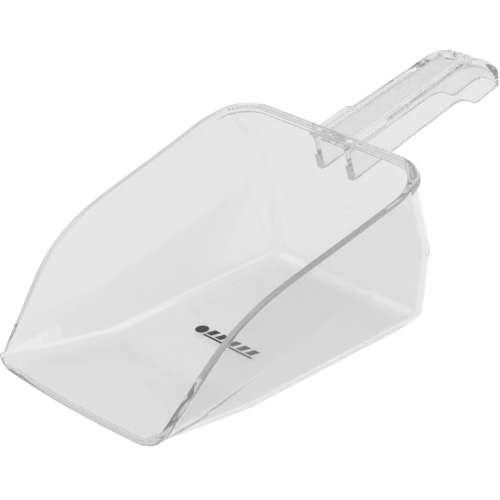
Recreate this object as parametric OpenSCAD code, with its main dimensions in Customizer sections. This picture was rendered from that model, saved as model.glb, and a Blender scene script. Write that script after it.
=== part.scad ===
// Clear moulded feed scoop: a creased bowl with a ramped lip, a flange round its rear rim,
// a hollow handle of inverted-U section and a small printed mark on the floor.
// +Y runs from the lip to the handle, +Z is up, and the flat floor rests on z = 0.

/* [Rim] */
// Outside width of the bowl at its rear rim
rim_width = 144; // [110:1:180]
// Distance from the lip's corners to the rear wall at the rim
rim_length = 171.8; // [140:0.1:210]
// Height of the rim at the rear wall
rim_height = 91.2; // [75:0.1:115]
// Slope of the rim plane, in degrees, rising toward the handle
rim_slope = 14.7; // [8:0.1:20]
// Amount that each side of the rim narrows from the rear wall to the lip
rim_narrowing = 5.8; // [0:0.1:10]
// Outside corner radius of the rear rim, seen from above
rim_corner_r = 26.4; // [15:0.1:32]

/* [Crease between the upper and lower panels] */
// Outside width of the bowl at the rear end of the crease
crease_width = 131.5; // [100:0.1:165]
// Height of the crease at the rear wall
crease_height = 45.2; // [30:0.1:60]
// Distance that the rear wall stands behind the rim at the crease
crease_setback = 9; // [4:0.1:14]
// Outside corner radius of the rear wall at the crease
crease_corner_r = 18; // [13:0.1:26]
// Height of the crease above the lip's underside at the front
crease_lip_rise = 2.9; // [1:0.1:6]

/* [Floor and lip] */
// Outside width of the floor at the rear
floor_width = 112.2; // [90:0.1:125]
// Outside width of the bowl at the lip
lip_width = 120.7; // [95:0.1:145]
// Height of the lip's underside above the flat floor's underside
lip_height = 10.9; // [4:0.1:16]
// Length of the ramp from the lip's corners to the flat floor
ramp_length = 63.4; // [40:0.1:80]
// Distance that the foot of the rear wall stands behind the rim
foot_setback = 9.2; // [4:0.1:14]
// Outside radius between the floor and the walls
floor_fillet = 12; // [8:0.1:14]
// Distance that the middle of the lip bows forward of its corners
lip_bow = 2.9; // [1:0.1:6]

/* [Walls] */
// Thickness of the bowl's walls and floor
wall = 4; // [2.5:0.1:5]

/* [Curved edge of the side walls] */
// Height of the side wall's front end above the lip's inner face
edge_foot = 0.5; // [0.2:0.1:3]
// Angle at which the edge leaves the lip, in degrees
edge_angle = 45.8; // [35:0.1:60]
// Reach of the curve's control point at the lip
edge_front_pull = 87; // [60:1:100]
// Reach of the curve's control point at the straight rim
edge_rear_pull = 115; // [80:1:130]
// Length of straight rim in front of the rear wall
rim_straight = 12.8; // [5:0.1:30]

/* [Rear flange] */
// Thickness of the flange, measured square to the rim plane
flange_thick = 3.4; // [2:0.1:3.5]
// Distance that the flange stands out behind the rear wall
flange_back = 1.2; // [0.6:0.1:4]
// Distance that the flange stands out at each side
flange_side = 2; // [1:0.1:5]
// Outside corner radius of the flange
flange_corner_r = 25; // [15:0.1:32]
// Distance that the flange runs forward along each side wall
flange_run = 17; // [8:0.1:40]

/* [Handle] */
// Outside width of the handle at the rear wall
handle_width = 25.6; // [20:0.1:34]
// Outside width of the handle at its tip
handle_tip_width = 20.6; // [16:0.1:28]
// Length of the handle behind the rear rim
handle_length = 113.6; // [100:0.1:140]
// Drop from the rim to the top of the handle at the rear wall
handle_drop = 3.7; // [3.7:0.1:10]
// Slope of the handle's top, in degrees
handle_slope = 10.9; // [5:0.1:14]
// Depth of the handle's side walls
handle_depth = 20.5; // [15:0.1:26]
// Thickness of the handle's side walls
handle_wall = 3.8; // [2.5:0.1:4.5]
// Thickness of the handle's top
handle_top = 3.5; // [2.5:0.1:4.5]

/* [Handle nose] */
// Radius of the curve that turns the handle's top down to its tip
nose_r = 34; // [26:0.5:42]
// Height of the tip below the highest point of the nose
tip_drop = 21.3; // [18:0.1:25]
// Radius of the tip, seen from above
tip_r = 13; // [11:0.1:16]
// Distance from the tip to the lowest point of the beak
beak_back = 20.8; // [14:0.1:28]
// Drop from the tip to the lowest point of the beak
beak_drop = 5.2; // [2:0.1:8]
// Length of the curve from the straight lower edge down to the beak
beak_run = 18; // [12:0.1:26]

/* [Root shelves] */
// Distance that each shelf stands out beside the handle
shelf_side = 2.3; // [1:0.1:6]
// Length of the shelves behind the rear rim
shelf_length = 25; // [12:0.1:50]
// Thickness of the shelves
shelf_thick = 2.6; // [1.5:0.1:3.5]

/* [Hanging hole] */
// Diameter of the hanging hole
hole_d = 11.5; // [6:0.1:13]
// Distance from the tip to the hole's centre
hole_back = 26; // [20:0.1:40]

/* [Printed mark] */
// Length of the printed mark, across the floor
mark_length = 41; // [20:0.5:70]
// Depth of the printed mark, along the floor
mark_depth = 7; // [3:0.1:15]
// Thickness of the ink
ink = 0.15; // [0.1:0.01:0.4]
// Distance from the lip's corners to the middle of the mark
mark_y = 96; // [85:0.5:130]
// Distance of the mark's middle from the middle of the floor
mark_x = -3.5; // [-15:0.5:15]

/* [Hidden] */
$fn = 64;
// A thickness and a reach that never show
thin = 0.01;
far = 400;
// How far the bowl's forms run past the rim and the lip before they are trimmed
above = 12;
lead = 7;
beyond = 25;
// Least height of the crease above the face of the ramp
crease_clear = 0.3;
// Gap at the face where the handle meets the rear wall
meet = 0.01;
edge_steps = 28;
bow_steps = 8;
beak_steps = 10;
clear_colour = [0.85, 0.87, 0.87, 0.6];

// The bowl's driving lines
rim_half = rim_width / 2;
crease_half = crease_width / 2;
crease_y = rim_length + crease_setback;
foot_y = rim_length + foot_setback;
crease_lip_z = lip_height + crease_lip_rise;
side_lean = (rim_half - crease_half) / (rim_height - crease_height);
rear_lean = crease_setback / (rim_height - crease_height);

function rim_z(y) = rim_height + (y - rim_length) * tan(rim_slope);
function rim_x(y) = rim_half - rim_narrowing * (rim_length - y) / rim_length;
function crease_z(y) = crease_lip_z + (crease_height - crease_lip_z) * y / crease_y;
function crease_x(y) = lip_width / 2 + (crease_half - lip_width / 2) * y / crease_y;
function ramp_z(y) = lip_height * (1 - y / ramp_length);
function lip_x(y) = lip_width / 2 + (floor_width - lip_width) / 2 * y / ramp_length;
function rear_y(z) = rim_length + rear_lean * (rim_height - z) + meet;

// A cubic curve through a and d with control points b and c
function cubic(a, b, c, d, t) =
    pow(1 - t, 3) * a + 3 * pow(1 - t, 2) * t * b + 3 * (1 - t) * t * t * c + pow(t, 3) * d;

// The curved edge of the side walls, from the lip to the straight rim
edge_start = [0, lip_height + wall + edge_foot];
edge_end = [rim_length - rim_straight, rim_z(rim_length - rim_straight)];
edge_b = edge_start + edge_front_pull * [cos(edge_angle), sin(edge_angle)];
edge_c = edge_end - edge_rear_pull * [cos(rim_slope), sin(rim_slope)];
edge_curve = [for (i = [0:edge_steps]) cubic(edge_start, edge_b, edge_c, edge_end, i / edge_steps)];

// The handle's driving lines
tip_y = rim_length + handle_length;
root_z = rim_height - handle_drop;
function top_z(y) = root_z + (y - rim_length) * tan(handle_slope);
function handle_x(y) =
    handle_width / 2 + (handle_tip_width - handle_width) / 2 * (y - rim_length) / handle_length;

// The nose is an arc that leaves the handle's straight top without a corner
nose_y = tip_y - sqrt(nose_r * nose_r - pow(nose_r - tip_drop, 2));
nose_z = top_z(nose_y - nose_r * sin(handle_slope)) - nose_r * cos(handle_slope);
tip_z = nose_z + nose_r - tip_drop;
beak = [tip_y - beak_back, tip_z - beak_drop];
beak_start = [beak[0] - beak_run, top_z(beak[0] - beak_run) - handle_depth];

// Everything is centred along Y on the length from the lip's bow to the handle's tip
middle_y = (tip_y - lip_bow) / 2;

module centred() {
    translate([0, -middle_y, 0]) children();
}

// Extrudes an outline drawn as (y, z) to an even width about x = 0
module across(width) {
    rotate([90, 0, 90]) linear_extrude(width, center = true) children();
}

module dot(x, y, z) {
    translate([x, y, z]) cube(thin, center = true);
}

// A ball whose poles lie exactly on its radius
module ball(r) {
    rotate_extrude($fn = 32) intersection() {
        circle(r = r, $fn = 32);
        translate([0, -r]) square([r, 2 * r]);
    }
}

// The bowl's convex outer form. inset shrinks it to the inner form, over raises its top
// past the rim, and out carries its front past the lip.
module tub(inset, over, out) {
    hull() for (s = [-1, 1]) {
        translate([
            s * (rim_half + side_lean * over - rim_corner_r),
            rim_length - rear_lean * over - rim_corner_r,
            rim_height + over
        ])
            cylinder(r = rim_corner_r - inset, h = thin);
        dot(s * (rim_x(-out) + side_lean * over - inset), -out, rim_z(-out) + over);
        translate([s * (crease_half - crease_corner_r), crease_y - crease_corner_r, crease_height])
            cylinder(r = crease_corner_r - inset, h = thin, $fn = 48);
        for (y = [0, -out])
            dot(s * (crease_x(y) - inset), y, max(crease_z(y), ramp_z(y) + inset + crease_clear));
        translate([s * (floor_width / 2 - floor_fillet), foot_y - floor_fillet, floor_fillet])
            ball(floor_fillet - inset);
        translate([s * (floor_width / 2 - floor_fillet), ramp_length, floor_fillet])
            ball(floor_fillet - inset);
        translate([s * (lip_x(-out) - floor_fillet), -out, ramp_z(-out) + floor_fillet])
            ball(floor_fillet - inset);
    }
}

// The side view that the rim plane and the curved edge leave
module bowl_side_view() {
    polygon(concat(
        [[-far, -far], [-far, edge_start[1]]],
        edge_curve,
        [[far, rim_z(far)], [far, -far]]
    ));
}

// Seen from above, all that lies behind the bowed front edge of the lip
module lip_plan() {
    half = lip_width / 2 + lead;
    polygon(concat(
        [for (i = [-bow_steps:bow_steps])
            [half * i / bow_steps, lip_bow * (pow(half * i / bow_steps / (lip_width / 2), 2) - 1)]],
        [[far, 0], [far, far], [-far, far], [-far, 0]]
    ));
}

module bowl() {
    color(clear_colour) centred() intersection() {
        difference() {
            tub(0, above, lip_bow + lead);
            tub(wall, above + 1, beyond);
        }
        across(2 * far) bowl_side_view();
        translate([0, 0, -far]) linear_extrude(2 * far) lip_plan();
    }
}

// The flange's outline, seen from above, as far forward as its run
module flange_plan() {
    half = rim_half + flange_side;
    back = rim_length + flange_back;
    intersection() {
        union() {
            for (s = [-1, 1])
                translate([s * (half - flange_corner_r), back - flange_corner_r])
                    circle(r = flange_corner_r);
            translate([-half, rim_length - far]) square([2 * half, far + flange_back - flange_corner_r]);
            translate([flange_corner_r - half, rim_length - far])
                square([2 * (half - flange_corner_r), far + flange_back]);
        }
        translate([-far, rim_length - flange_run]) square([2 * far, 2 * far]);
    }
}

module rear_flange() {
    slab = flange_thick / cos(rim_slope);
    color(clear_colour) centred() difference() {
        intersection() {
            linear_extrude(far) flange_plan();
            across(2 * far) polygon([
                [-far, rim_z(-far)], [far, rim_z(far)],
                [far, rim_z(far) - slab], [-far, rim_z(-far) - slab]
            ]);
        }
        tub(0, above, lip_bow + lead);
    }
}

// The handle's outline, seen from above, with walls set in by inset
module handle_plan(inset) {
    intersection() {
        polygon([for (p = [[-1, 0], [1, 0], [1, far], [-1, far]])
            [p[0] * (handle_x(p[1]) - inset), p[1]]]);
        union() {
            translate([-far, 0]) square([2 * far, tip_y - tip_r]);
            translate([0, tip_y - tip_r]) circle(r = tip_r - inset);
        }
    }
}

// The handle's side view: its straight top, the nose, the tip, the beak and the lower edge
module handle_side_view() {
    low = top_z(rim_length) - handle_depth;
    curve = [for (i = [0:beak_steps]) cubic(
        beak_start, beak_start + [beak_run * 0.7, 1.2],
        beak - [beak_run * 0.25, 0.4], beak, i / beak_steps
    )];
    intersection() {
        polygon(concat(
            [[rear_y(root_z), root_z], [rear_y(low), low]],
            curve,
            [[tip_y, tip_z], [tip_y, top_z(tip_y)]]
        ));
        nose_view(0);
    }
}

// All that lies below the handle's top and inside its nose, set in by inset
module nose_view(inset) {
    drop = inset / cos(handle_slope);
    turn_y = nose_y - nose_r * sin(handle_slope);
    polygon([
        [0, -far], [0, top_z(0) - drop], [turn_y, top_z(turn_y) - drop],
        [nose_y, nose_z], [nose_y, -far]
    ]);
    intersection() {
        translate([nose_y, nose_z]) circle(r = nose_r - inset, $fn = 180);
        translate([turn_y, nose_z - far]) square([far, 2 * far]);
    }
    translate([turn_y, nose_z - far]) square([tip_y - turn_y - inset, far]);
}

// The two narrow shelves beside the handle's root
module shelves() {
    half = handle_width / 2 + shelf_side;
    end_y = rim_length + shelf_length;
    intersection() {
        across(2 * far) polygon([
            [rear_y(root_z), root_z], [far, top_z(far)],
            [far, top_z(far) - shelf_thick], [rear_y(root_z - shelf_thick), root_z - shelf_thick]
        ]);
        linear_extrude(far) {
            translate([-half, 0]) square([2 * half, end_y - shelf_side]);
            translate([shelf_side - half, 0]) square([2 * (half - shelf_side), end_y]);
            for (s = [-1, 1])
                translate([s * (half - shelf_side), end_y - shelf_side]) circle(r = shelf_side);
        }
    }
}

module handle() {
    color(clear_colour) centred() difference() {
        union() {
            intersection() {
                across(2 * far) handle_side_view();
                linear_extrude(far) handle_plan(0);
            }
            shelves();
        }
        intersection() {
            across(2 * far) nose_view(handle_top);
            linear_extrude(far) handle_plan(handle_wall);
        }
        translate([0, tip_y - hole_back, 0]) cylinder(d = hole_d, h = far);
    }
}

// A generic mark with no lettering: a disc, a row of slanted bars and a rule under them
module printed_mark() {
    gap = mark_depth / 7;
    disc_d = mark_depth;
    rule = mark_depth / 6;
    bars = 5;
    row_start = disc_d + gap;
    pitch = (mark_length - row_start) / bars;
    bar_width = pitch - gap;
    bar_height = mark_depth - rule - gap;
    slant = pitch / 4;
    color([0.08, 0.08, 0.09]) centred()
        translate([mark_x - mark_length / 2, mark_y - mark_depth / 2, wall]) linear_extrude(ink) {
            translate([disc_d / 2, mark_depth / 2]) circle(d = disc_d);
            translate([row_start, 0]) square([mark_length - row_start, rule]);
            for (i = [0:bars - 1])
                translate([row_start + i * pitch, rule + gap]) polygon([
                    [0, 0], [bar_width - slant, 0],
                    [bar_width, bar_height], [slant, bar_height]
                ]);
        }
}

bowl();
rear_flange();
handle();
printed_mark();
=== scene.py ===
# The clear moulded feed scoop: smooth meshes for the bowl, its rear flange and its handle, made
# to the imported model's sizes, with a plain white studio.
import math

import bmesh
import bpy
import numpy as np
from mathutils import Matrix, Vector


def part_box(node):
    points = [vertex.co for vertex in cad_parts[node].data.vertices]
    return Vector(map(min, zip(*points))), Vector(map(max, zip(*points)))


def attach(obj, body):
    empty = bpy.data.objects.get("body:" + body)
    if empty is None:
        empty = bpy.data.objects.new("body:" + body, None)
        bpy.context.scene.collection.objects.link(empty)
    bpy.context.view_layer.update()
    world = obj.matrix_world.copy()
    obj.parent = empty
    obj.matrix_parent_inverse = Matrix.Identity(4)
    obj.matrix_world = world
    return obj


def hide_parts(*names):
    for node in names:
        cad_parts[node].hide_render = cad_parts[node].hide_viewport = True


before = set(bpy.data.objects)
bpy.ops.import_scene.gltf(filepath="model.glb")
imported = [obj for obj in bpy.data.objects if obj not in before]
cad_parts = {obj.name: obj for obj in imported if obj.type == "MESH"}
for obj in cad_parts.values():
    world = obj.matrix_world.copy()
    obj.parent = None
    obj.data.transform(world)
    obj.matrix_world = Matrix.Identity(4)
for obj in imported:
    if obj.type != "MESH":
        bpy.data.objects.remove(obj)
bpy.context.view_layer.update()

# ---- sizes, in millimetres, with y measured from the lip's corners ------------------------------
MM = 0.001
TINY = 1e-9
LIP_BOW = 2.9
LIP_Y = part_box("bowl")[0].y / MM + LIP_BOW
WALL = 4.0

RIM_LENGTH = 171.8
RIM_HEIGHT = 91.2
RIM_HALF = 72.0
RIM_NARROWING = 5.8
RIM_SLOPE = math.radians(14.7)
RIM_CORNER = 26.4
RIM_ROUND = 0.9

CREASE_Y = RIM_LENGTH + 9.0
CREASE_HEIGHT = 45.2
CREASE_HALF = 65.75
CREASE_CORNER = 17.0
CREASE_LIP_Z = 13.8
CREASE_ROUND = 16.0
CREASE_LEAST = 0.6  # how far the crease stays above the floor at least

FOOT_Y = RIM_LENGTH + 9.2
FLOOR_HALF = 56.1
FLOOR_FILLET = 12.0
FLOOR_CORNER = FLOOR_FILLET
FLOOR_EASE = 12.0  # the floor's width settles this far past each end of the ramp

LIP_HALF = 60.35
LIP_HEIGHT = 10.9
LIP_ROUND = 2.0
LIP_STEP = 0.8
LIP_CORNER = 13.0
LIP_CORNER_PULL = 2.0
LIP_CORNER_POWER = 2.5
LIP_FADE = 45.0  # the lip's shaping dies out this far back
RAMP_LENGTH = 63.4
RAMP_BLEND = 7.0

EDGE_FOOT = 0.5
EDGE_ANGLE = math.radians(45.8)
EDGE_FRONT_PULL = 87.0
EDGE_REAR_PULL = 115.0
EDGE_STEP = 0.4
EDGE_SMOOTHING = 26.0
RIM_STRAIGHT = 12.8

FLANGE_DEPTH = 3.4
FLANGE_BACK = 1.1
FLANGE_CORNER = 2.2
FLANGE_SIDE_SHARE = 0.8
FLANGE_START = 153.0
FLANGE_FULL = 164.0
FLANGE_ROUND = 0.9
FLANGE_TRIM = 0.5
FLANGE_LEAST = 0.02

HANDLE_HALF = 12.8
HANDLE_DEPTH = 20.5
HANDLE_WALL = 3.8
HANDLE_TOP = 3.5
HANDLE_VOXEL = 0.6
HANDLE_SOFTEN = 14
ROOT_Z = RIM_HEIGHT - 3.7
ROOT_MARGIN = 1.0
SHELF_SIDE = 2.3
SHELF_THICK = 2.6
SEAT_GAP = 0.02
SEAT_REACH = 0.7
REAR_LEAN = (CREASE_Y - RIM_LENGTH) / (RIM_HEIGHT - CREASE_HEIGHT)

# ---- how finely each stretch is meshed ----------------------------------------------------------
SIDE_STATIONS = 84
CORNER_STATIONS = 18
REAR_STATIONS = 24
STATION_POWER = 1.25  # above 1, the side's columns crowd toward the lip
FILLET_STEPS = 16
LOWER_STEPS = 10
CREASE_STEPS = 12
UPPER_STEPS = 16
BAND_STEPS = 4
CAP_STEPS = 5
LIP_FAN_STEPS = 6
CURVE_POINTS = 400
CUT_STEPS = 60
PAST_RIM = 0.25  # columns are searched this share past the rim's plane for the free edge
WELD_PER_MM = 2000

# ---- limits of an arc at a path's corner --------------------------------------------------------
SHORTEST_LEG = 1e-6
STRAIGHT_TURN = 1e-4
FOLDED_TURN = 3.0
STRAIGHT_SHARE = 0.4
END_SHARE = 0.98
INNER_SHARE = 0.49

# ---- looks --------------------------------------------------------------------------------------
PLASTIC_IOR = 1.58
PLASTIC_LOW = (0.57, 0.57, 0.57)
PLASTIC_HIGH = (0.61, 0.61, 0.61)
PLASTIC_DEEP = (0.93, 0.93, 0.93)
TINT_SCALE = 22.0
SCUFF_SCALE = 260.0
SCUFF_STRETCH = (1, 0.12, 1)
SCUFF_FROM = 0.55
SCUFF_TO = 0.8
SCUFF_ROUGHNESS = 0.05
WAVE_SCALE = 14.0
WAVE_STRENGTH = 0.05
WAVE_DEPTH = 0.002
GUIDED_BOUNCES = 4.5
GUIDED_TINT = (0.8, 0.8, 0.8)
SHADOW_TINT = (0.86, 0.86, 0.86)
INK_LOW = (0.018, 0.018, 0.02)
INK_HIGH = (0.07, 0.07, 0.075)
INK_BLOTCH_SCALE = 900.0
INK_GRAIN_SCALE = 500.0
INK_SMOOTHEST = 0.45
INK_ROUGHEST = 0.7

# ---- studio and camera, in metres, radians and watts; lens and sensor in millimetres ------------
STAGE_HALF = 3.0
STAGE_DROP = 0.0003
STAGE_GREY = 0.22
STAGE_GLOW = 0.84
WORLD_LOW = 0.74
WORLD_HIGH = 0.96
WORLD_LOW_Z = 0.05
WORLD_HIGH_Z = 0.7
KEY_PLACE = (-0.9, -0.5, 1.5)
KEY_SIZE = 1.8
KEY_POWER = 9
FILL_PLACE = (1.0, 0.6, 1.2)
FILL_SIZE = 1.2
FILL_POWER = 4
MAX_BOUNCES = 24
GLOSSY_BOUNCES = 12

VIEW_AZIMUTH = math.radians(50.092)
VIEW_ELEVATION = math.radians(27.199)
VIEW_ROLL = math.radians(-4.496)
VIEW_DISTANCE = 1.10076
VIEW_FOCAL = 163.913
VIEW_SENSOR = 36
VIEW_CLIP = 0.01
VIEW_TARGET = Vector((0, (113.587 + LIP_Y) * MM, 48.025 * MM))


def vec(x, y, z):
    return np.array([x, y, z], float)


def smooth(a, b, x):
    """0 below a, 1 above b and a soft step between them."""
    t = min(max((x - a) / (b - a), 0.0), 1.0)
    return t * t * (3 - 2 * t)


def unit(v):
    return v / max(np.linalg.norm(v), TINY)


def rounded(points, radii, steps):
    """The path with each inner corner turned into an arc, always with the same number of points."""
    out = [points[0]]
    for k in range(1, len(points) - 1):
        p = points[k]
        a, b = points[k - 1] - p, points[k + 1] - p
        la, lb = np.linalg.norm(a), np.linalg.norm(b)
        if la < SHORTEST_LEG or lb < SHORTEST_LEG:
            out += [p] * (steps[k - 1] + 1)
            continue
        a, b = a / la, b / lb
        turn = math.pi - math.acos(min(1.0, max(-1.0, float(a @ b))))
        if turn > FOLDED_TURN:
            out += [p] * (steps[k - 1] + 1)
            continue
        if turn < STRAIGHT_TURN:
            reach = STRAIGHT_SHARE * min(la, lb, radii[k - 1])
            count = steps[k - 1]
            out += [p + a * reach + (b - a) * reach * i / count for i in range(count + 1)]
            continue
        before = END_SHARE if k == 1 else INNER_SHARE
        after = END_SHARE if k == len(points) - 2 else INNER_SHARE
        reach = min(radii[k - 1] * math.tan(turn / 2), before * la, after * lb)
        radius = reach / math.tan(turn / 2)
        centre = p + unit(a + b) * radius / math.cos(turn / 2)
        u, v = p + a * reach - centre, p + b * reach - centre
        for i in range(steps[k - 1] + 1):
            t = i / steps[k - 1]
            out.append(centre + (math.sin((1 - t) * turn) * u + math.sin(t * turn) * v) / math.sin(turn))
    out.append(points[-1])
    return out


# ---- the bowl's driving lines -------------------------------------------------------------------
def rim_z(y):
    return RIM_HEIGHT + (y - RIM_LENGTH) * math.tan(RIM_SLOPE)


def rim_x(y):
    straight = RIM_LENGTH - RIM_CORNER
    return RIM_HALF - RIM_NARROWING * (straight - y) / straight


def crease_z(y):
    return CREASE_LIP_Z + (CREASE_HEIGHT - CREASE_LIP_Z) * y / (CREASE_Y - CREASE_CORNER)


def crease_x(y):
    return LIP_HALF + (CREASE_HALF - LIP_HALF) * y / (CREASE_Y - CREASE_CORNER)


def floor_x(y):
    return LIP_HALF + (FLOOR_HALF - LIP_HALF) * smooth(-FLOOR_EASE, RAMP_LENGTH + FLOOR_EASE, y)


def floor_z(y):
    """The height of the ramp and of the flat floor, with a soft bend between them."""
    slope = LIP_HEIGHT / RAMP_LENGTH
    d = RAMP_LENGTH - y
    if d > RAMP_BLEND:
        return slope * d
    if d < -RAMP_BLEND:
        return 0.0
    return slope * (d + RAMP_BLEND) ** 2 / (4 * RAMP_BLEND)


def cubic(a, b, c, d, t):
    """The point at share t of a Bezier curve."""
    return (1 - t) ** 3 * a + 3 * (1 - t) ** 2 * t * b + 3 * (1 - t) * t * t * c + t ** 3 * d


def edge_curve():
    """The side walls' free edge in side view: y, z and its slope, from the lip to the rear wall."""
    start = np.array([0.0, LIP_HEIGHT + WALL + EDGE_FOOT])
    end_y = RIM_LENGTH - RIM_STRAIGHT
    end = np.array([end_y, rim_z(end_y)])
    b = start + EDGE_FRONT_PULL * np.array([math.cos(EDGE_ANGLE), math.sin(EDGE_ANGLE)])
    c = end - EDGE_REAR_PULL * np.array([math.cos(RIM_SLOPE), math.sin(RIM_SLOPE)])
    points = np.array([cubic(start, b, c, end, t) for t in np.linspace(0, 1, CURVE_POINTS)])
    y = np.arange(0, end_y, EDGE_STEP)
    z = np.interp(y, points[:, 0], points[:, 1])
    reach = int(EDGE_SMOOTHING / EDGE_STEP)
    before = z[0] - math.tan(EDGE_ANGLE) * EDGE_STEP * np.arange(reach, 0, -1)
    after = z[-1] + math.tan(RIM_SLOPE) * EDGE_STEP * np.arange(1, reach + 1)
    padded = np.concatenate([before, z, after])
    window = np.hanning(2 * reach + 3)[1:-1]
    z = np.convolve(padded, window / window.sum(), "valid")
    return y, z, np.gradient(z, y)


EDGE_Y, EDGE_Z, EDGE_SLOPE = edge_curve()


def edge_z(y):
    if y >= EDGE_Y[-1]:
        return rim_z(y)
    return float(np.interp(y, EDGE_Y, EDGE_Z))


def edge_slope(y):
    if y >= EDGE_Y[-1]:
        return math.tan(RIM_SLOPE)
    return float(np.interp(y, EDGE_Y, EDGE_SLOPE))


def edge_up(y):
    """The direction square to the free edge in side view."""
    return unit(vec(0, -edge_slope(y), 1))


# ---- the bowl's surface, as columns from the floor up to the free edge --------------------------
def foot_reach(across, rise, inset):
    """How far past the fillet's centre the wall's plane would meet the floor's face."""
    radius = FLOOR_FILLET - inset
    lean = math.atan2(rise, across) - math.acos(min(1.0, radius / math.hypot(across, rise)))
    return radius * math.tan((lean + math.pi / 2) / 2)


def side_column(t, inset):
    """The column at share t of the way from the lip to the rear corner: its corners, top first."""
    ym = t * (RIM_LENGTH - RIM_CORNER)
    yc = t * (CREASE_Y - CREASE_CORNER)
    yf = t * (FOOT_Y - FLOOR_CORNER)
    top = vec(rim_x(ym) - inset, ym, rim_z(ym))
    crease = vec(crease_x(yc) - inset, yc, max(crease_z(yc), floor_z(yc) + inset + CREASE_LEAST))
    centre = floor_x(yf) - FLOOR_CORNER
    reach = foot_reach(crease[0] - centre, crease[2] - floor_z(yf) - FLOOR_FILLET, inset)
    foot = vec(centre + reach, yf, floor_z(yf) + inset)
    inner = vec(centre, yf, floor_z(yf) + inset)
    return [top, crease, foot, inner], vec(1, 0, 0)


def corner_column(angle, inset):
    """The column at an angle round the rear corner, 0 at the side wall."""
    def at(half, back, radius, z):
        cx, cy = half - radius, back - radius
        r = radius - inset
        return vec(cx + r * math.cos(angle), cy + r * math.sin(angle), z)

    top = at(RIM_HALF, RIM_LENGTH, RIM_CORNER, 0)
    top[2] = rim_z(top[1])
    crease = at(CREASE_HALF, CREASE_Y, CREASE_CORNER, CREASE_HEIGHT)
    inner = vec(FLOOR_HALF - FLOOR_CORNER, FOOT_Y - FLOOR_CORNER, inset)
    out = vec(math.cos(angle), math.sin(angle), 0)
    across = float((crease - inner) @ out)
    foot = inner + out * foot_reach(across, CREASE_HEIGHT - FLOOR_FILLET, inset)
    return [top, crease, foot, inner], out


def rear_column(t, inset):
    """Columns of the rear wall, from the corner (t = 0) to the middle (t = 1)."""
    def at(half, back, radius, z):
        return vec((half - radius) * (1 - t), back - inset, z)

    top = at(RIM_HALF, RIM_LENGTH, RIM_CORNER, 0)
    top[2] = rim_z(top[1])
    crease = at(CREASE_HALF, CREASE_Y, CREASE_CORNER, CREASE_HEIGHT)
    inner = at(FLOOR_HALF, FOOT_Y - FLOOR_CORNER + inset, FLOOR_CORNER, inset)
    reach = foot_reach(crease[1] - inner[1], CREASE_HEIGHT - FLOOR_FILLET, inset)
    foot = inner + vec(0, reach, 0)
    return [top, crease, foot, inner], vec(0, 1, 0)


def walk(count, start, end):
    """count + 1 points spread evenly along the straight from start to end."""
    return [start + (end - start) * i / count for i in range(count + 1)]


def full_column(corners, inset):
    """The column's path from the floor up to its bend at the crease, and its top corner."""
    top, crease, foot, inner = corners
    path = rounded(
        [inner, foot, crease, top],
        [FLOOR_FILLET - inset, CREASE_ROUND - inset],
        [FILLET_STEPS, CREASE_STEPS],
    )
    fillet = path[1:FILLET_STEPS + 2]
    bend = path[FILLET_STEPS + 2:FILLET_STEPS + CREASE_STEPS + 3]
    lower = walk(LOWER_STEPS, fillet[-1], bend[0])[1:-1]
    return [inner] + fillet + lower + bend, top


def cut_column(corners, inset, drop):
    """The column with its top on the free edge, and band rows of fixed depth just under it."""
    stem, top = full_column(corners, inset)
    last = stem[-1]
    past_rim = top + (top - last) * PAST_RIM
    body = walk(CUT_STEPS, last, past_rim)
    dense = stem + body[1:]

    def over(p):
        height = edge_z(p[1]) - drop / edge_up(p[1])[2]
        return p[2] - max(height, floor_z(p[1]) + WALL + LIP_STEP)

    cut = None
    for i in range(1, len(dense)):
        if over(dense[i]) > 0:
            a, b = over(dense[i - 1]), over(dense[i])
            share = min(max(-a / max(b - a, TINY), 0.0), 1.0)
            cut = (i, dense[i - 1] + (dense[i] - dense[i - 1]) * share)
            break
    if cut is None:
        cut = (len(dense), past_rim)
    if cut[0] < len(stem):
        head = stem[:cut[0]] + [cut[1]] * (len(stem) - cut[0])
        return head + [cut[1]] * (UPPER_STEPS + BAND_STEPS)
    end = cut[1]
    length = np.linalg.norm(end - last)
    band = min(FLANGE_DEPTH, 0.5 * length)
    low = end + (last - end) * band / max(length, TINY)
    upper = walk(UPPER_STEPS, last, low)[1:]
    strip = walk(BAND_STEPS, low, end)[1:]
    return stem + upper + strip


def shape_lip(column):
    """Bows the lip forward in the middle and rounds its corners back."""
    out = []
    for p in column:
        fade = 1 - smooth(0, LIP_FADE, p[1])
        bow = LIP_BOW * (1 - (p[0] / LIP_HALF) ** 2) * fade
        corner = max(0.0, (abs(p[0]) - LIP_HALF + LIP_CORNER) / LIP_CORNER)
        pull = LIP_CORNER_PULL * corner ** LIP_CORNER_POWER * fade
        out.append(p + vec(0, pull - max(bow, 0) + LIP_ROUND * fade, 0))
    return out


def half_bowl(inset):
    """The columns of one half of the bowl, from the lip to the middle of the rear wall."""
    columns, outward = [], []
    for i in range(SIDE_STATIONS):
        corners, out = side_column((i / SIDE_STATIONS) ** STATION_POWER, inset)
        columns.append(shape_lip(cut_column(corners, inset, RIM_ROUND)))
        outward.append(out)
    for i in range(CORNER_STATIONS):
        corners, out = corner_column(math.pi / 2 * i / CORNER_STATIONS, inset)
        columns.append(cut_column(corners, inset, RIM_ROUND))
        outward.append(out)
    for i in range(REAR_STATIONS + 1):
        corners, out = rear_column(i / REAR_STATIONS, inset)
        columns.append(cut_column(corners, inset, RIM_ROUND))
        outward.append(out)
    return columns, outward


def mirrored(p):
    return vec(-p[0], p[1], p[2])


def whole(columns):
    """Both halves in one run, from one lip corner round to the other."""
    return columns + [[mirrored(p) for p in c] for c in reversed(columns[:-1])]


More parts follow.
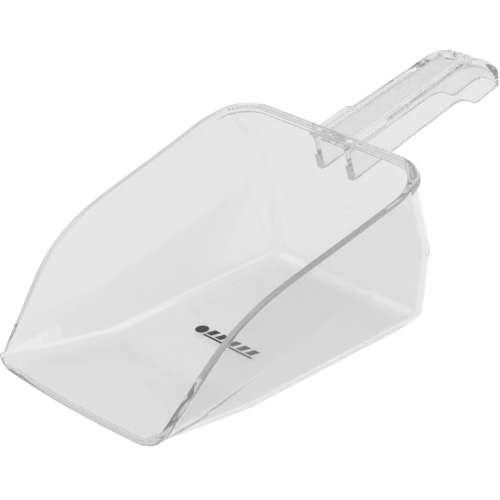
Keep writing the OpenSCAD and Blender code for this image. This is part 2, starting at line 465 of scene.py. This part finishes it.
class MeshMaker:
    """Collects points in millimetres and faces with a material number, and makes one closed mesh."""

    def __init__(self):
        self.points = []
        self.faces = []
        self.slots = []

    def grid(self, rows, flip=False, slot=lambda i, j: 0):
        """Four-sided faces between rows of equally many points."""
        width = len(rows[0])
        base = len(self.points)
        for row in rows:
            self.points += row
        for i in range(len(rows) - 1):
            for j in range(width - 1):
                a = base + i * width + j
                face = [a, a + 1, a + width + 1, a + width]
                self.faces.append(face[::-1] if flip else face)
                self.slots.append(slot(i, j))

    def fan(self, ring, flip=False, slot=0):
        """One flat face round a ring of points."""
        base = len(self.points)
        self.points += ring
        face = list(range(base, base + len(ring)))
        self.faces.append(face[::-1] if flip else face)
        self.slots.append(slot)

    def build(self, name, materials):
        """The mesh as an object, with points that coincide welded and faces with no area left out."""
        keys, index, where = {}, [], []
        for p in self.points:
            key = tuple(int(round(c * WELD_PER_MM)) for c in p)
            if key not in keys:
                keys[key] = len(where)
                where.append(p)
            index.append(keys[key])
        faces, slots = [], []
        for face, slot in zip(self.faces, self.slots):
            ids = [index[i] for i in face]
            clean = [v for k, v in enumerate(ids) if v != ids[k - 1]]
            if len(set(clean)) >= 3 and len(set(clean)) == len(clean):
                faces.append(clean)
                slots.append(slot)
        mesh = bpy.data.meshes.new(name)
        mesh.from_pydata([tuple((p + vec(0, LIP_Y, 0)) * MM) for p in where], [], faces)
        for material in materials:
            mesh.materials.append(material)
        mesh.polygons.foreach_set("material_index", slots)
        mesh.polygons.foreach_set("use_smooth", [True] * len(faces))
        mesh.validate()
        mesh.update()
        obj = bpy.data.objects.new(name, mesh)
        bpy.context.scene.collection.objects.link(obj)
        return obj


def apply_modifiers(obj):
    """Replaces the object's mesh with the one its modifiers make."""
    graph = bpy.context.evaluated_depsgraph_get()
    mesh = bpy.data.meshes.new_from_object(obj.evaluated_get(graph))
    obj.modifiers.clear()
    obj.data = mesh


def fix_normals(obj):
    """Turns every face outward."""
    work = bmesh.new()
    work.from_mesh(obj.data)
    bmesh.ops.recalc_face_normals(work, faces=work.faces)
    work.to_mesh(obj.data)
    work.free()


# ---- materials ----------------------------------------------------------------------------------
def new_material(name):
    material = bpy.data.materials.new(name)
    material.use_nodes = True
    material.node_tree.nodes.clear()
    return material, material.node_tree.nodes, material.node_tree.links


def noise(nodes, links, scale, detail=3.0, stretch=(1, 1, 1)):
    coords = nodes.new("ShaderNodeTexCoord")
    mapping = nodes.new("ShaderNodeMapping")
    mapping.inputs["Scale"].default_value = stretch
    texture = nodes.new("ShaderNodeTexNoise")
    texture.inputs["Scale"].default_value = scale
    texture.inputs["Detail"].default_value = detail
    links.new(coords.outputs["Object"], mapping.inputs["Vector"])
    links.new(mapping.outputs["Vector"], texture.inputs["Vector"])
    return texture.outputs["Fac"]


def ramp(nodes, links, source, low, high, first, last):
    """The source's values from low to high, spread over first to last."""
    node = nodes.new("ShaderNodeMapRange")
    node.inputs["From Min"].default_value = low
    node.inputs["From Max"].default_value = high
    node.inputs["To Min"].default_value = first
    node.inputs["To Max"].default_value = last
    links.new(source, node.inputs["Value"])
    return node.outputs["Result"]


def calculate(nodes, links, operation, first, second=None):
    """A Math node on numbers or sockets."""
    node = nodes.new("ShaderNodeMath")
    node.operation = operation
    for socket, value in zip(node.inputs, (first, second)):
        if isinstance(value, (int, float)):
            socket.default_value = value
        elif value is not None:
            links.new(value, socket)
    return node.outputs[0]


def mixed(nodes, links, share, first, second):
    """The first shader where share is 0 and the second where it is 1."""
    mix = nodes.new("ShaderNodeMixShader")
    links.new(share, mix.inputs["Fac"])
    links.new(first, mix.inputs[1])
    links.new(second, mix.inputs[2])
    return mix.outputs["Shader"]


def handle_root(nodes, links):
    """1 on the part of the bowl's outer face that the handle's root grows out of."""
    coords = nodes.new("ShaderNodeTexCoord")
    split = nodes.new("ShaderNodeSeparateXYZ")
    links.new(coords.outputs["Object"], split.inputs["Vector"])
    x = calculate(nodes, links, "ABSOLUTE", split.outputs["X"])
    y, z = split.outputs["Y"], split.outputs["Z"]

    def box(half, low, high):
        narrow = calculate(nodes, links, "LESS_THAN", x, half * MM)
        above = calculate(nodes, links, "GREATER_THAN", z, low * MM)
        below = calculate(nodes, links, "LESS_THAN", z, high * MM)
        between = calculate(nodes, links, "MULTIPLY", above, below)
        return calculate(nodes, links, "MULTIPLY", narrow, between)

    outline = box(HANDLE_HALF, ROOT_Z - HANDLE_DEPTH, ROOT_Z)
    channel = box(HANDLE_HALF - HANDLE_WALL, ROOT_Z - HANDLE_DEPTH, ROOT_Z - HANDLE_TOP)
    walls = calculate(nodes, links, "SUBTRACT", outline, channel)
    shelves = box(HANDLE_HALF + SHELF_SIDE, ROOT_Z - SHELF_THICK, ROOT_Z)
    both = calculate(nodes, links, "MAXIMUM", walls, shelves)
    outside = calculate(nodes, links, "GREATER_THAN", y, (RIM_LENGTH - ROOT_MARGIN + LIP_Y) * MM)
    return calculate(nodes, links, "MULTIPLY", both, outside)


def clear_plastic(name, joined=False):
    """Clear plastic: a grey body, slow waves from the mould and fine scuffs. Joined hides the root."""
    material, nodes, links = new_material(name)
    out = nodes.new("ShaderNodeOutputMaterial")
    shader = nodes.new("ShaderNodeBsdfPrincipled")
    shader.inputs["Transmission Weight"].default_value = 1.0
    shader.inputs["IOR"].default_value = PLASTIC_IOR
    tint = nodes.new("ShaderNodeMix")
    tint.data_type = "RGBA"
    tint.inputs["A"].default_value = (*PLASTIC_LOW, 1)
    tint.inputs["B"].default_value = (*PLASTIC_HIGH, 1)
    links.new(noise(nodes, links, TINT_SCALE, 2.0), tint.inputs["Factor"])
    # The face nearest the eye carries most of the grey, so that walls behind it stay as pale
    path = nodes.new("ShaderNodeLightPath")
    deeper = nodes.new("ShaderNodeMix")
    deeper.data_type = "RGBA"
    deeper.inputs["B"].default_value = (*PLASTIC_DEEP, 1)
    inside = calculate(nodes, links, "GREATER_THAN", path.outputs["Ray Depth"], 0.5)
    links.new(inside, deeper.inputs["Factor"])
    links.new(tint.outputs["Result"], deeper.inputs["A"])
    links.new(deeper.outputs["Result"], shader.inputs["Base Color"])
    scuffs = noise(nodes, links, SCUFF_SCALE, 4.0, SCUFF_STRETCH)
    roughness = ramp(nodes, links, scuffs, SCUFF_FROM, SCUFF_TO, 0.0, SCUFF_ROUGHNESS)
    links.new(roughness, shader.inputs["Roughness"])
    bump = nodes.new("ShaderNodeBump")
    bump.inputs["Strength"].default_value = WAVE_STRENGTH
    bump.inputs["Distance"].default_value = WAVE_DEPTH
    links.new(noise(nodes, links, WAVE_SCALE, 1.0), bump.inputs["Height"])
    links.new(bump.outputs["Normal"], shader.inputs["Normal"])
    # A ray that has met many surfaces is let straight out, dimmed, instead of being lost
    spent = calculate(nodes, links, "GREATER_THAN", path.outputs["Ray Depth"], GUIDED_BOUNCES)
    leak = nodes.new("ShaderNodeBsdfTransparent")
    leak.inputs["Color"].default_value = (*GUIDED_TINT, 1)
    surface = mixed(nodes, links, spent, shader.outputs["BSDF"], leak.outputs["BSDF"])
    shadow = nodes.new("ShaderNodeBsdfTransparent")
    shadow.inputs["Color"].default_value = (*SHADOW_TINT, 1)
    surface = mixed(nodes, links, path.outputs["Is Shadow Ray"], surface, shadow.outputs["BSDF"])
    if joined:
        through = nodes.new("ShaderNodeBsdfTransparent")
        surface = mixed(nodes, links, handle_root(nodes, links), surface, through.outputs["BSDF"])
    links.new(surface, out.inputs["Surface"])
    return material


def hidden_joint():
    """The face where two features of the one moulding run into each other: nothing shows there."""
    material, nodes, links = new_material("moulded_joint")
    out = nodes.new("ShaderNodeOutputMaterial")
    shader = nodes.new("ShaderNodeBsdfTransparent")
    links.new(shader.outputs["BSDF"], out.inputs["Surface"])
    return material


def printed_ink():
    """Black screen ink: slightly uneven coverage and a matt face."""
    material, nodes, links = new_material("black_ink")
    out = nodes.new("ShaderNodeOutputMaterial")
    shader = nodes.new("ShaderNodeBsdfPrincipled")
    tint = nodes.new("ShaderNodeMix")
    tint.data_type = "RGBA"
    tint.inputs["A"].default_value = (*INK_LOW, 1)
    tint.inputs["B"].default_value = (*INK_HIGH, 1)
    links.new(noise(nodes, links, INK_BLOTCH_SCALE, 5.0), tint.inputs["Factor"])
    links.new(tint.outputs["Result"], shader.inputs["Base Color"])
    grain = noise(nodes, links, INK_GRAIN_SCALE)
    roughness = ramp(nodes, links, grain, 0.3, 0.7, INK_SMOOTHEST, INK_ROUGHEST)
    links.new(roughness, shader.inputs["Roughness"])
    links.new(shader.outputs["BSDF"], out.inputs["Surface"])
    return material


CLEAR = clear_plastic("clear_plastic")
BOWL_CLEAR = clear_plastic("clear_plastic_bowl", True)
JOINT = hidden_joint()
INK = printed_ink()


# ---- the bowl -----------------------------------------------------------------------------------
def edge_cap(outer, inner, up, radius):
    """The rounded face that closes the wall between an outer and an inner edge point."""
    raised = [outer + up * radius, inner + up * radius]
    return rounded([outer, *raised, inner], [radius, radius], [CAP_STEPS, CAP_STEPS])


def flange_size(point, normal):
    """How far the flange stands out: most at the rear corners, and fading in along the sides."""
    corner = 1 - (normal[1] if abs(normal[0]) < TINY else abs(normal[1] ** 2 - normal[0] ** 2)) ** 2
    size = FLANGE_BACK + (FLANGE_CORNER - FLANGE_BACK) * max(corner, 0)
    if abs(normal[1]) < TINY:
        size = FLANGE_CORNER * FLANGE_SIDE_SHARE
    return size * smooth(FLANGE_START, FLANGE_FULL, point[1])


def floor_rows(columns):
    """The floor's rows, each from one side column's foot across to its mirror."""
    across = 2 * REAR_STATIONS
    feet = [c[0] for c in columns[:SIDE_STATIONS]] + [columns[SIDE_STATIONS + CORNER_STATIONS][0]]
    rows = []
    for p in feet:
        row = []
        for j in range(across + 1):
            x = p[0] * (1 - 2 * j / across)
            fade = 1 - smooth(0, LIP_FADE, max(p[1], 0))
            bow = LIP_BOW * ((p[0] / LIP_HALF) ** 2 - (x / LIP_HALF) ** 2) * fade
            row.append(vec(x, p[1] - bow, p[2]))
        rows.append(row)
    return rows


def add_lip(maker, outer, inner, floor_out, floor_in):
    """The lip's rounded front, and its two ends where it turns up into the side walls' edges."""
    lip_outer = outer[0][::-1] + floor_out[0][1:-1] + outer[-1]
    lip_inner = inner[0][::-1] + floor_in[0][1:-1] + inner[-1]
    forward = unit(vec(0, -1, LIP_HEIGHT / RAMP_LENGTH))
    maker.grid([edge_cap(o, i, forward, LIP_ROUND) for o, i in zip(lip_outer, lip_inner)])
    up = edge_up(outer[0][-1][1])
    for k, flip in ((0, True), (-1, False)):
        fan = []
        for i in range(LIP_FAN_STEPS + 1):
            t = i / LIP_FAN_STEPS
            radius = RIM_ROUND + (LIP_ROUND - RIM_ROUND) * t
            fan.append(edge_cap(outer[k][-1], inner[k][-1], unit(up * (1 - t) + forward * t), radius))
        maker.grid(fan, flip=flip)


def make_shell(outer, inner, caps, covered):
    """The bowl: its walls, free edge, floor and lip. Faces under the flange get the joint's slot."""
    band = len(outer[0]) - 1 - BAND_STEPS
    maker = MeshMaker()

    def outer_slot(i, j):
        return 1 if covered[i] and covered[i + 1] and j >= band else 0

    def cap_slot(i, j):
        return 1 if covered[i] and covered[i + 1] and 1 <= j <= CAP_STEPS else 0

    maker.grid(outer, flip=True, slot=outer_slot)
    maker.grid(inner)
    maker.grid(caps, flip=True, slot=cap_slot)
    floor_out, floor_in = floor_rows(outer), floor_rows(inner)
    maker.grid(floor_out)
    maker.grid(floor_in, flip=True)
    add_lip(maker, outer, inner, floor_out, floor_in)
    return maker.build("bowl_shell", [BOWL_CLEAR, JOINT])


def make_flange(outer, normals, caps, sizes, covered):
    """The flange, closed on its inside by the bowl's own faces, so that the two meet exactly."""
    maker = MeshMaker()
    inside, outside = [], []
    for k in range(len(outer)):
        if not covered[k]:
            continue
        own = caps[k][1 + CAP_STEPS:0:-1] + outer[k][-1:-2 - BAND_STEPS:-1]
        start, end = own[0], own[-1]
        drop = end - outer[k][-1]
        far = start + normals[k] * (sizes[k] + RIM_ROUND)
        low = far + unit(drop) * (np.linalg.norm(drop) + RIM_ROUND - FLANGE_TRIM)
        section = [start, far, low, end]
        inside.append(own)
        outside.append(rounded(section, [FLANGE_ROUND, FLANGE_ROUND], [CAP_STEPS, CAP_STEPS]))
    maker.grid(inside, flip=True, slot=lambda i, j: 1)
    maker.grid(outside)
    for k, flip in ((0, False), (-1, True)):
        maker.fan(inside[k] + outside[k][::-1], flip=flip)
    return maker.build("rear_flange_rib", [CLEAR, JOINT])


def make_bowl():
    """The bowl's shell and, on the same points, the flange round its rear rim."""
    outer_half, outward = half_bowl(0)
    inner_half, _ = half_bowl(WALL)
    outer, inner = whole(outer_half), whole(inner_half)
    normals = outward + [mirrored(n) for n in reversed(outward[:-1])]
    caps = [edge_cap(o[-1], i[-1], edge_up(o[-1][1]), RIM_ROUND) for o, i in zip(outer, inner)]
    sizes = [flange_size(o[-1], n) for o, n in zip(outer, normals)]
    covered = [size > FLANGE_LEAST for size in sizes]
    shell = make_shell(outer, inner, caps, covered)
    return shell, make_flange(outer, normals, caps, sizes, covered)


# ---- the handle ---------------------------------------------------------------------------------
def rear_wall_y(z):
    """Where the rear wall's outer face stands at a height, in the frame's y."""
    return RIM_LENGTH + REAR_LEAN * (RIM_HEIGHT - z) + LIP_Y


def make_handle():
    """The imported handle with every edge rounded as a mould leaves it, and its root kept flat."""
    handle = bpy.data.objects.new("handle_channel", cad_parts["handle"].data.copy())
    bpy.context.scene.collection.objects.link(handle)
    handle.data.transform(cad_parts["handle"].matrix_world)
    remesh = handle.modifiers.new("remesh", "REMESH")
    remesh.mode = "VOXEL"
    remesh.voxel_size = HANDLE_VOXEL * MM
    soften = handle.modifiers.new("soften", "SMOOTH")
    soften.factor = 0.5
    soften.iterations = HANDLE_SOFTEN
    finer = handle.modifiers.new("finer", "SUBSURF")
    finer.levels = 1
    apply_modifiers(handle)
    mesh = handle.data
    mesh.materials.clear()
    for material in (CLEAR, JOINT):
        mesh.materials.append(material)
    seated = []
    for vertex in mesh.vertices:
        gap = vertex.co.y / MM - rear_wall_y(vertex.co.z / MM)
        seated.append(gap < SEAT_REACH)
        if seated[-1]:
            vertex.co.y = (rear_wall_y(vertex.co.z / MM) + SEAT_GAP) * MM
    for face in mesh.polygons:
        face.use_smooth = True
        face.material_index = 1 if all(seated[v] for v in face.vertices) else 0
    mesh.update()
    return handle


# ---- the pieces and their places in the frame ---------------------------------------------------
bowl, flange = make_bowl()
handle = make_handle()
for piece in (bowl, flange, handle):
    fix_normals(piece)
for piece, node in ((bowl, "bowl"), (flange, "rear_flange"), (handle, "handle")):
    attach(piece, "root")
    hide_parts(node)

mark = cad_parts["printed_mark"]
mark.material_slots[0].material = INK


# ---- studio -------------------------------------------------------------------------------------
def seen_directly(nodes, links):
    """1 for the camera's rays and for those by way of gloss or clear plastic, 0 for others."""
    path = nodes.new("ShaderNodeLightPath")
    camera_ray = path.outputs["Is Camera Ray"]
    plain = calculate(nodes, links, "MAXIMUM", camera_ray, path.outputs["Is Transmission Ray"])
    return calculate(nodes, links, "MAXIMUM", plain, path.outputs["Is Glossy Ray"])


def make_floor():
    """A pale floor that shows white to the camera and still takes the scoop's shadow."""
    mesh = bpy.data.meshes.new("floor")
    h, z = STAGE_HALF, -STAGE_DROP
    mesh.from_pydata([(-h, -h, z), (h, -h, z), (h, h, z), (-h, h, z)], [], [[0, 1, 2, 3]])
    floor = bpy.data.objects.new("floor", mesh)
    bpy.context.scene.collection.objects.link(floor)
    material, nodes, links = new_material("floor_white")
    out = nodes.new("ShaderNodeOutputMaterial")
    diffuse = nodes.new("ShaderNodeBsdfDiffuse")
    diffuse.inputs["Color"].default_value = (STAGE_GREY, STAGE_GREY, STAGE_GREY, 1)
    glow = nodes.new("ShaderNodeEmission")
    seen = seen_directly(nodes, links)
    links.new(ramp(nodes, links, seen, 0, 1, 0.0, STAGE_GLOW), glow.inputs["Strength"])
    both = nodes.new("ShaderNodeAddShader")
    links.new(diffuse.outputs["BSDF"], both.inputs[0])
    links.new(glow.outputs["Emission"], both.inputs[1])
    links.new(both.outputs["Shader"], out.inputs["Surface"])
    mesh.materials.append(material)


def make_world():
    """Nearly white above and greyer at the horizon, which gives the clear edges their lines."""
    world = bpy.data.worlds.new("studio")
    bpy.context.scene.world = world
    world.use_nodes = True
    nodes, links = world.node_tree.nodes, world.node_tree.links
    nodes.clear()
    out = nodes.new("ShaderNodeOutputWorld")
    back = nodes.new("ShaderNodeBackground")
    coords = nodes.new("ShaderNodeTexCoord")
    split = nodes.new("ShaderNodeSeparateXYZ")
    links.new(coords.outputs["Generated"], split.inputs["Vector"])
    sky = ramp(nodes, links, split.outputs["Z"], WORLD_LOW_Z, WORLD_HIGH_Z, WORLD_LOW, WORLD_HIGH)
    links.new(sky, back.inputs["Strength"])
    links.new(back.outputs["Background"], out.inputs["Surface"])


def softbox(name, where, size, power):
    """A square area lamp at a place, aimed at the frame's origin."""
    light = bpy.data.lights.new(name, "AREA")
    light.shape = "RECTANGLE"
    light.size = size
    light.size_y = size
    light.energy = power
    lamp = bpy.data.objects.new(name, light)
    lamp.location = where
    lamp.rotation_euler = (-Vector(where)).to_track_quat("-Z", "Y").to_euler()
    bpy.context.scene.collection.objects.link(lamp)


def make_camera():
    """The camera at the photograph's viewing angle."""
    flat = math.cos(VIEW_ELEVATION)
    toward = (math.sin(VIEW_AZIMUTH) * flat, -math.cos(VIEW_AZIMUTH) * flat, math.sin(VIEW_ELEVATION))
    back = Vector(toward)
    level_right = Vector((math.cos(VIEW_AZIMUTH), math.sin(VIEW_AZIMUTH), 0))
    level_up = back.cross(level_right)
    right = level_right * math.cos(VIEW_ROLL) + level_up * math.sin(VIEW_ROLL)
    up = level_up * math.cos(VIEW_ROLL) - level_right * math.sin(VIEW_ROLL)
    data = bpy.data.cameras.new("camera")
    data.sensor_width = VIEW_SENSOR
    data.lens = VIEW_FOCAL
    data.clip_start = VIEW_CLIP
    camera = bpy.data.objects.new("camera", data)
    bpy.context.scene.collection.objects.link(camera)
    matrix = camera.matrix_world.copy()
    for column, axis in enumerate((right, up, back)):
        for row in range(3):
            matrix[row][column] = axis[row]
    matrix.translation = VIEW_TARGET + back * VIEW_DISTANCE
    camera.matrix_world = matrix
    bpy.context.scene.camera = camera


make_floor()
make_world()
softbox("key", KEY_PLACE, KEY_SIZE, KEY_POWER)
softbox("fill", FILL_PLACE, FILL_SIZE, FILL_POWER)
make_camera()

scene = bpy.context.scene
scene.view_settings.view_transform = "Standard"
scene.cycles.max_bounces = MAX_BOUNCES
scene.cycles.transmission_bounces = MAX_BOUNCES
scene.cycles.glossy_bounces = GLOSSY_BOUNCES
scene.cycles.transparent_max_bounces = MAX_BOUNCES
